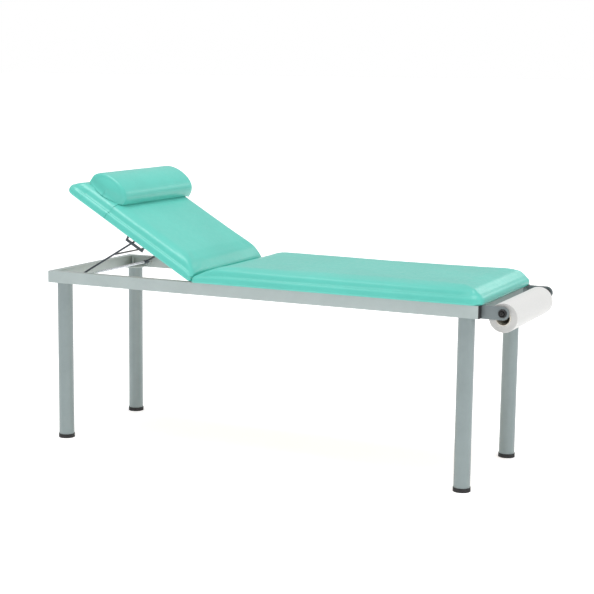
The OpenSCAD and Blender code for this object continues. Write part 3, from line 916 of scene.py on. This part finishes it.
def staple(place, along, normal):
    """One staple: a bridge of flat wire with its legs driven in."""
    half, rise, sunk = 0.0055, 0.0008, 0.001
    bridge = ((-1, -sunk), (-1, rise * 0.6), (-0.9, rise), (0.9, rise), (1, rise * 0.6), (1, -sunk))
    path = [place + along * (half * share) + normal * height for share, height in bridge]
    return sweep(path, 0.00055, sides=6)


def staple_row(length, width, skip):
    """Staples round the hem of a pad's underside, in the pad's flat place."""
    inset, hinge_inset, gap, height = 0.0395, 0.022, 0.052, -0.0004
    first_x, first_y, both_ends = 0.045, 0.048, 0.08

    def slanted(place, along):
        """A staple driven a little askew."""
        slant = Matrix.Rotation(random.uniform(-0.18, 0.18), 3, "Z")
        return staple(place, slant @ Vector(along), -UP)

    parts = []
    for side in (-1, 1):
        for k in range(int((length - both_ends) / gap)):
            parts.append(slanted(Vector((first_x + k * gap, side * (width / 2 - inset), height)), (1, 0, 0)))
    for end in (hinge_inset, length - inset):
        for k in range(int((width - both_ends) / gap)):
            place = Vector((end, first_y - width / 2 + k * gap, height))
            if not skip(place):
                parts.append(slanted(place, (0, 1, 0)))
    return parts


def make_staples():
    """Staples that hold the vinyl under the backrest's board."""
    leaf_reach, leaf_inner, leaf_outer = 0.06, 0.145, 0.235

    def under_leaf(place):
        return place.x < leaf_reach and leaf_inner < abs(place.y) < leaf_outer

    points, faces = gather(staple_row(BACK.length, PAD_WIDTH, under_leaf))
    points = [BACK_FLAT @ point for point in points]
    mesh_object("backrest_staples", points, faces, ZINC, "zinc_steel", "backrest", 60)


make_staples()


# ---- Carried-over CAD nodes ----

def finish_cad_nodes():
    """Gives every CAD node its detailed material. The legs take the frame's grey made darker: painted shade
    for the dimmer light low down near the floor.
    """
    for subpart in frame["record"]["subparts"]:
        node, slot = subpart["node"], subpart["material_slot"]
        material = SLOT_MATERIAL[slot]
        # Painted shade: the legs get the darker copy of the frame's grey.
        if node.startswith("leg_") and slot == "frame_paint":
            material = LEG_PAINT_WITH_PAINTED_SHADE
        for place in frame["nodes"][node].material_slots:
            place.material = material


finish_cad_nodes()


# ---- Studio ----

def make_floor():
    """A wide pale floor that glows a little, so that it stays white to the camera."""
    size = 400
    corners = [(-size, -size, 0), (size, -size, 0), (size, size, 0), (-size, size, 0)]
    mesh = bpy.data.meshes.new("floor")
    mesh.from_pydata(corners, [], [(0, 1, 2, 3)])
    m = Nodes("pale_floor", (0.93, 0.93, 0.93), 0.7, Emission_Color=(1, 1, 1, 1), Emission_Strength=0.42)
    tone = m.mix(m.ramp(m.noise(0.6, 3.0), 0.3, 0.7), (0.925, 0.925, 0.925), (0.935, 0.935, 0.935))
    mesh.materials.append(m.done(tone))
    floor = bpy.data.objects.new("floor", mesh)
    bpy.context.scene.collection.objects.link(floor)


def make_world():
    """White surroundings to the camera. As a light they are bright overhead and dimmer near the horizon."""
    world = bpy.data.worlds.new("studio")
    world.use_nodes = True
    tree = world.node_tree
    light = tree.nodes["Background"]
    direction = tree.nodes.new("ShaderNodeTexCoord").outputs["Generated"]
    split = tree.nodes.new("ShaderNodeSeparateXYZ")
    height = tree.nodes.new("ShaderNodeMapRange")
    for socket, value in (("From Min", 0.0), ("From Max", 0.7), ("To Min", 0.50), ("To Max", 0.70)):
        height.inputs[socket].default_value = value
    backdrop = tree.nodes.new("ShaderNodeBackground")
    backdrop.inputs["Strength"].default_value = 1.0
    for background in (light, backdrop):
        background.inputs["Color"].default_value = (1, 1, 1, 1)
    seen = tree.nodes.new("ShaderNodeLightPath").outputs["Is Camera Ray"]
    mixed = tree.nodes.new("ShaderNodeMixShader")
    tree.links.new(direction, split.inputs["Vector"])
    tree.links.new(split.outputs["Z"], height.inputs["Value"])
    tree.links.new(height.outputs["Result"], light.inputs["Strength"])
    tree.links.new(seen, mixed.inputs[0])
    tree.links.new(light.outputs[0], mixed.inputs[1])
    tree.links.new(backdrop.outputs[0], mixed.inputs[2])
    tree.links.new(mixed.outputs[0], tree.nodes["World Output"].inputs["Surface"])
    bpy.context.scene.world = world


def soft_sun(place, strength, spread):
    """A sun in the direction of place, spread degrees across."""
    data = bpy.data.lights.new("soft_sun", "SUN")
    data.energy = strength
    data.angle = math.radians(spread)
    light = bpy.data.objects.new("soft_sun", data)
    light.rotation_euler = Vector(place).to_track_quat("Z", "Y").to_euler()
    bpy.context.scene.collection.objects.link(light)


def area_light(name, place, target, width, height, power):
    """A soft panel at place that faces target and doesn't show in the picture itself."""
    data = bpy.data.lights.new(name, "AREA")
    data.shape = "RECTANGLE"
    data.size, data.size_y = width, height
    data.energy = power
    light = bpy.data.objects.new(name, data)
    light.location = place
    light.visible_camera = False
    light.rotation_euler = (Vector(target) - Vector(place)).to_track_quat("-Z", "Y").to_euler()
    bpy.context.scene.collection.objects.link(light)


def make_studio():
    """White surroundings, a broad sun overhead, and panels whose soft reflections show in the vinyl."""
    make_world()
    bpy.context.scene.view_settings.view_transform = "Standard"
    soft_sun((0.12, -0.10, 1.0), strength=1.36, spread=32)
    area_light("foot_end_strip", (3.4, -1.2, 1.9), (0.5, 0, 0.6), width=0.6, height=3.2, power=10)
    area_light("overhead_strip", (-0.8, -0.7, 3.1), (0.3, -0.3, 0.7), width=2.4, height=0.5, power=11)
    area_light("back_panel", (1.6, 3.2, 2.1), (0.3, 0, 0.7), width=2.6, height=0.45, power=8.5)


make_floor()
make_studio()
